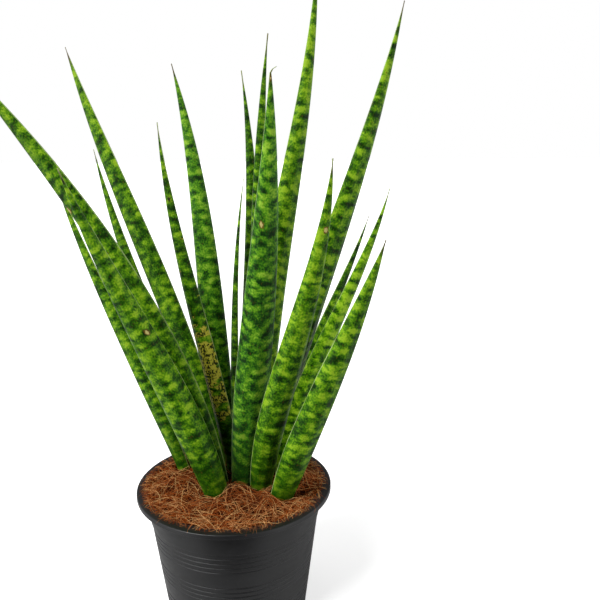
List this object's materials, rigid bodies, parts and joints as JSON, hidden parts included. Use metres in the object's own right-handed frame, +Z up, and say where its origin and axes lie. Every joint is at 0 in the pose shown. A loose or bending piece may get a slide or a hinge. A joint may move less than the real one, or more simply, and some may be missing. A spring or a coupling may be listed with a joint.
{
  "type": "potted snake plant",
  "caption": "Snake plant with tall channelled spear leaves, growing from coconut coir in a ribbed, tapered nursery pot with drainage.",
  "frame": {"origin": "middle of the pot's flat underside, on the pot's axis", "axes": "+Z up along the pot's axis; +X to the right and +Y to the back, seen from the plant's front"},
  "size_m": [0.3908, 0.2303, 0.668],
  "materials": {
    "leaf": "waxy green leaf skin with irregular dark cross-bands and thin pale margins",
    "leaf_yellow": "waxy leaf skin with dull yellow patches and dark speckles",
    "leaf_pale": "waxy pale green leaf skin with few bands",
    "pot": "satin black injection-moulded polypropylene with fine grooves",
    "coir": "loose tangled coconut fibre, orange brown",
    "mix": "damp coarse potting mix",
    "rhizome": "smooth fleshy underground stem"
  },
  "bodies": {
    "root": {"pot": "pot", "potting_mix": "mix", "coir_mulch": "coir", "rhizome": "rhizome", "leaf_left_long": "leaf", "leaf_left_outer": "leaf", "leaf_left_front": "leaf", "leaf_left_tall": "leaf", "leaf_left_small": "leaf", "leaf_yellow_marked": "leaf_yellow", "leaf_back_left": "leaf", "leaf_centre_slim": "leaf", "leaf_back_centre": "leaf", "leaf_middle_slim": "leaf", "leaf_centre_front": "leaf", "leaf_tallest": "leaf", "leaf_right_tall": "leaf", "leaf_right_front": "leaf", "leaf_right_back": "leaf", "leaf_right_pale": "leaf_pale", "leaf_right_low": "leaf"}
  },
  "joints": []
}
